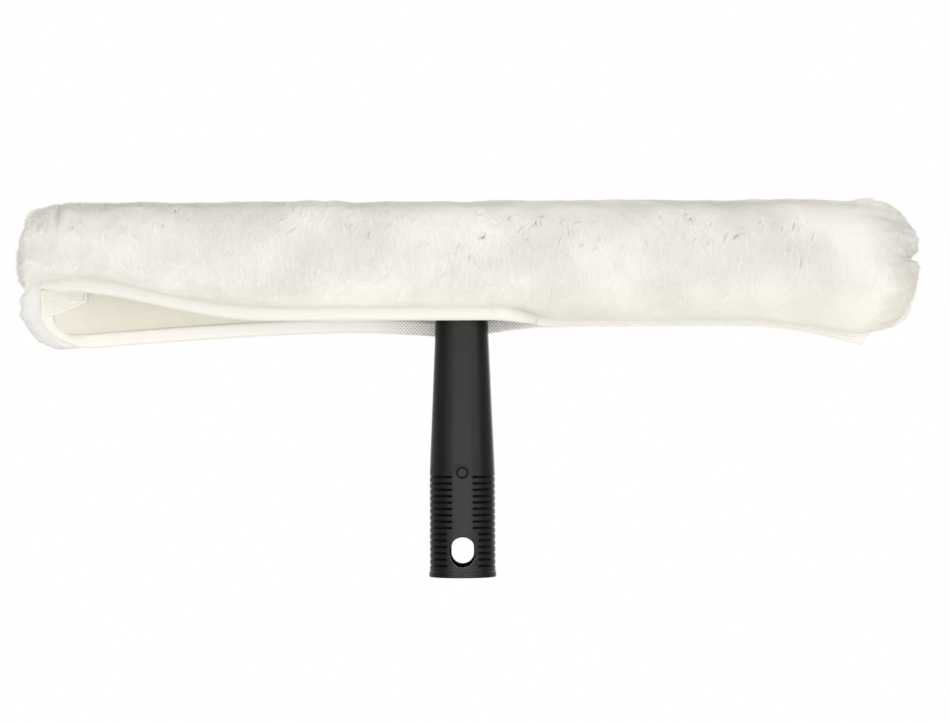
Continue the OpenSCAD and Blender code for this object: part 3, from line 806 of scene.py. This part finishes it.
# Both ends are a little tousled: the pile stands in small locks there
locks = (smooth((all_u - 0.965) / 0.02) * smooth((1 - all_u) / 0.004)
         + 0.6 * smooth((0.012 - all_u) / 0.01))
locks = locks * smooth((0.85 - abs(all_s)) / 0.1)
around = all_s * PILE_GIRTH
tousle = locks * (0.9 * mm * wander(all_u * 0.2, around, 0.0045, 21)
                  + 0.4 * mm * wander(all_u * 0.2, around, 0.0021, 22))
outer = outer + tousle[..., None] * skin_normals(outer)
inner = np.concatenate([fan_inner, under])
points, faces = shell(outer, inner[::UNDER_STRIDE, ::UNDER_STRIDE])
cut = cut_lengths(all_u, all_s)
felt = make("fleece_pile", points, faces, np.concatenate([
    cut.reshape(-1, 2), cut[::UNDER_STRIDE, ::UNDER_STRIDE].reshape(-1, 2)]))

# The hairs: on each point of the skin, which way they lie and how long they are. Each one
# is a three-sided cone with its open root inside the pile's body.
flat_u, flat_s = np.clip(all_u, 0, 1), all_s
normal = skin_normals(outer)
down = unit(np.gradient(outer, axis=1)) * np.where(all_s < 0, -1, 1)[..., None]
sideways = unit(np.gradient(outer, axis=0))
crown = smooth(abs(all_s) / 0.16)[..., None]
parted, part_x, part_s = partings(flat_u, flat_s)
x_cut, s_cut = flat_u * (END_X - RIM_X), flat_s * PILE_GIRTH
swirl = wander(x_cut, s_cut, 0.017, 4) * 0.3 + wander(x_cut, s_cut, 0.006, 5) * 0.12
rim_share = clamp(-all_u / FAN_U)[..., None]
part_down = part_s * np.where(all_s < 0, -1, 1)
lay = unit(0.30 * normal + crown * (1 - 0.6 * rim_share) * down
           + (0.8 * (1 - crown[..., 0]) + swirl + 1.1 * part_x)[..., None] * sideways
           + (1.1 * part_down)[..., None] * down - 0.5 * rim_share * sideways)
reach = 2.6 * mm * mix(0.75, 1, smooth((end_row(flat_u, all_s) - abs(all_s)) / 0.16))

rows, cols = outer.shape[1], outer.shape[0]
scalp = make("scalp", outer.reshape(-1, 3), band(rows, cols, 0))
# Painted light: the pile is coloured lighter and warmer lower down and greyer towards the top, as
# light from low in front falls on it
low_down = smooth((BAR_Z + 6 * mm - outer[..., 2]) / (38 * mm)) * (1 - tail(flat_u, all_s))


def with_inner(value):
    return np.concatenate([value.ravel(), value[::UNDER_STRIDE, ::UNDER_STRIDE].ravel()])


mark(scalp, lay=lay, skin_normal=normal, reach=reach, parted=parted, low_down=low_down)
mark(felt, parted=with_inner(parted), low_down=with_inner(low_down))


def pile_finish(name):
    finish = Finish(name, Roughness=0.75, Sheen_Weight=0.2, Sheen_Roughness=0.4)
    tone = finish.noise(28, 3)
    # Painted light: lighter and warmer lower down, greyer at the top
    low = finish.add("ShaderNodeAttribute", {"attribute_name": "low_down"}, out=2)
    parting_shade = finish.add("ShaderNodeAttribute", {"attribute_name": "parted"}, out=2)
    mottle = finish.blend(finish.level(tone, 0.3, 0.7), finish.blend(
        low, shade(221, 219, 214), shade(229, 225, 216)), finish.blend(
        low, shade(233, 231, 226), shade(238, 235, 227)))
    # Painted shade: the pile is coloured darker in its partings, where shade falls between the
    # hairs
    finish.vary("Base Color", finish.blend(
        finish.level(parting_shade, 0.25, 1.0), mottle, shade(184, 180, 172)))
    return finish


fleece_finish = pile_finish("fleece_pile")
fibre = fleece_finish.noise(1500, 3, fleece_finish.place((1, 1, 0.25)))
fleece_finish.relief(fibre, 0.0004, 0.6)

hair_finish = pile_finish("fleece_fibres")
hair_sizes = {"Hairs per area": 5.6e6, "Seed": 7, "Hair width": 0.13 * mm, "Spread": 0.1}
tree, given = node_tree("hairs", hair_sizes)
scattered = add(tree, "GeometryNodeDistributePointsOnFaces", {}, {
    "Mesh": given["Geometry"], "Density": given["Hairs per area"], "Seed": given["Seed"]})
lay_field, reach_field = named(tree, "lay"), named(tree, "reach", "FLOAT")
jitter = add(tree, "FunctionNodeRandomValue", {"data_type": "FLOAT_VECTOR"},
             {"Min": (-1, -1, -1), "Max": (1, 1, 1), "Seed": given["Seed"]})
loose = add(tree, "ShaderNodeVectorMath", {"operation": "SCALE"},
            {0: jitter, "Scale": given["Spread"]})
aim = add(tree, "ShaderNodeVectorMath", {"operation": "ADD"}, {0: lay_field, 1: loose})
inward = add(tree, "ShaderNodeVectorMath", {"operation": "SCALE"},
             {0: named(tree, "skin_normal"), "Scale": -1.0})
facing = add(tree, "FunctionNodeAxesToRotation", {"primary_axis": "Z", "secondary_axis": "X"},
             {0: aim, 1: inward})
strand = add(tree, "GeometryNodeMeshCone", {"fill_type": "NONE"}, {
    "Vertices": 3, "Side Segments": 1, "Radius Top": 0.0, "Radius Bottom": 0.5, "Depth": 1.0})
vary_length = add(tree, "FunctionNodeRandomValue", {"data_type": "FLOAT"},
                  {2: 0.65, 3: 1.15, "Seed": given["Seed"] + 1}, out=1)
scale = add(tree, "ShaderNodeCombineXYZ", {}, {
    0: given["Hair width"], 1: given["Hair width"], 2: reach_field * vary_length})
placed = add(tree, "GeometryNodeInstanceOnPoints", {},
             {"Points": scattered, "Instance": strand, "Rotation": facing, "Scale": scale})
hairs = grow(scalp, tree, placed, hair_finish.material, hair_sizes, "fleece_hairs")

settle(felt, fleece_finish, "sleeve", "fleece_pile", "fleece")
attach(hairs, "sleeve")

# Closing tab: a short knitted tab, sewn to the back wall's rim and folded inside. It
# swings out over the mouth and holds the sleeve shut: a pad of hook tape near its tip
# grips the knit.
TAB_T = 1.2 * mm
COLLAR_R, TAB_RISE, TAB_SEAM, TAB_GAP = 15.75 * mm, 1.8 * mm, 1.5 * mm, 0.35 * mm
TAB_X, TAB_TOP = RIM_X + TAB_SEAM, BAR_Z - COLLAR_R + TAB_RISE
TAB_LEN, TAB_H, TAB_TIP_H = 24 * mm, 14.8 * mm, 8 * mm
TAB_Y = SLIT_HALF + FLARE - CLOTH / 2 - TAB_GAP - TAB_T / 2

tab_cols, tab_rows = 60, 34
run = np.linspace(0, 1, tab_cols)
low_line = np.interp(run * TAB_LEN, [0, 0.4 * TAB_LEN, TAB_LEN - 1.5 * mm, TAB_LEN],
                     [TAB_TOP - TAB_H, TAB_TOP - TAB_H + 2.2 * mm,
                      TAB_TOP - TAB_TIP_H + 0.8 * mm, TAB_TOP - TAB_TIP_H + 2 * mm])
high_line = np.interp(run * TAB_LEN, [0, TAB_LEN - 1 * mm, TAB_LEN],
                      [TAB_TOP, TAB_TOP, TAB_TOP - 1 * mm])
rise = np.linspace(0, 1, tab_rows)
tab_x = np.repeat((TAB_X + run * TAB_LEN)[:, None], tab_rows, axis=1)
tab_z = mix(low_line[:, None], high_line[:, None], rise[None, :])
edge_dist = np.minimum.reduce([tab_z - low_line[:, None], high_line[:, None] - tab_z,
                               (TAB_LEN - run * TAB_LEN)[:, None] * np.ones(tab_rows)])
half_t = TAB_T / 2 * mix(0.3, 1, np.sqrt(1 - (1 - clamp(edge_dist / (1.2 * mm))) ** 2))
# A row of stitches draws a fine furrow along the tab's edges
furrow = 0.22 * mm * np.exp(-((edge_dist - 2.4 * mm) / (0.35 * mm)) ** 2)
front = np.stack([tab_x, TAB_Y - half_t + furrow, tab_z], axis=-1)
rear = np.stack([tab_x, TAB_Y + half_t - furrow, tab_z], axis=-1)
points, faces = shell(front, rear)
tab_cut = np.tile(np.stack([tab_x, tab_z], axis=-1).reshape(-1, 2), (2, 1))
tab = make("closing_tab_cloth", points, faces, tab_cut)
tab_finish = Finish("tab_knit", Roughness=0.88, Sheen_Weight=0.2, Sheen_Roughness=0.6)
tab_stitches = knit(tab_finish, 1.1 * mm, 0.9 * mm)
tab_finish.vary("Base Color", tab_finish.blend(
    0.6 * tab_stitches + 0.4 * tab_finish.noise(900),
    shade(230, 226, 214), shade(249, 246, 236)))
tab_finish.relief(tab_stitches, 0.0004, 0.7)
settle(tab, tab_finish, "tab", "tab_cloth", "closing_tab")

hook_finish = Finish("hook_tape", Roughness=0.6)
nap = hook_finish.noise(1400, 2)
hook_finish.vary("Base Color", hook_finish.blend(nap, shade(205, 202, 190), shade(238, 235, 225)))
hook_finish.relief(nap, 0.0003, 0.7)
dress("hook_pad", hook_finish)

# Room: a plain pale floor and a white surround, as in a product photograph. Broad soft
# light comes from low down in front, from behind, from the right and from overhead on
# the left.
FLOOR_Z, FLOOR_R, FLOOR_CORNERS = -0.12, 0.5, 64
FADE_START, FADE_END = 0.28, 0.46
SURROUND = 0.87
LIT_POINT = (0, 0, 0.13)

room = Finish("floor", Roughness=0.9)
room.vary("Base Color", room.blend(
    room.noise(3, 2), shade(238, 238, 238), shade(242, 242, 242)))
spread = room.add("ShaderNodeVectorMath", {"operation": "LENGTH"},
                  {0: room.place((1, 1, 0))}, 1)
clear = room.add("ShaderNodeBsdfTransparent")
edge = room.add("ShaderNodeMixShader", {}, {
    0: room.level(spread, FADE_START, FADE_END),
    1: Term(room.tree, room.surface.outputs[0]), 2: clear})
outlet = next(n for n in room.tree.nodes if n.type == "OUTPUT_MATERIAL")
room.tree.links.new(edge.socket, outlet.inputs["Surface"])
ring = [(FLOOR_R * math.cos(a), FLOOR_R * math.sin(a), FLOOR_Z)
        for a in np.linspace(0, 2 * math.pi, FLOOR_CORNERS + 1)[:-1]]
floor = make("floor", np.array(ring), np.arange(FLOOR_CORNERS)[None])
floor.data.materials.append(room.material)

world = bpy.data.worlds.new("surround")
world.use_nodes = True
bpy.context.scene.world = world
sky = world.node_tree
seen = [add(sky, "ShaderNodeLightPath", out=name) for name in (
    "Is Camera Ray", "Is Glossy Ray", "Is Transmission Ray")]
direct = (seen[0] + seen[1] + seen[2]).held()
background = next(n for n in sky.nodes if n.type == "BACKGROUND")
# What the camera sees and what is mirrored is pure white; the light it gives is a little less
strength = direct * (1.0 - SURROUND) + SURROUND
sky.links.new(strength.socket, background.inputs["Strength"])
background.inputs["Color"].default_value = (1, 1, 1, 1)


def lamp(name, place, size, power):
    light = bpy.data.lights.new(name, "AREA")
    light.shape, light.energy = "RECTANGLE", power
    light.size, light.size_y = size
    piece = bpy.data.objects.new(name, light)
    aim = Vector(LIT_POINT) - Vector(place)
    turn = aim.to_track_quat("-Z", "Y").to_matrix().to_4x4()
    piece.matrix_world = Matrix.Translation(place) @ turn
    bpy.context.scene.collection.objects.link(piece)


lamp("front_light", (0.05, -1.7, -0.08), (2.6, 0.5), 12.5)
lamp("low_light", (0.0, -0.55, -0.1), (1.2, 0.25), 0.5)
lamp("left_light", (-0.45, -0.2, 1.35), (0.9, 0.6), 6)
lamp("back_light", (0.2, 1.8, 0.35), (2.0, 0.8), 8)
lamp("right_light", (1.5, -0.9, 0.4), (0.8, 1.2), 8)

bpy.context.scene.view_settings.view_transform = "Standard"
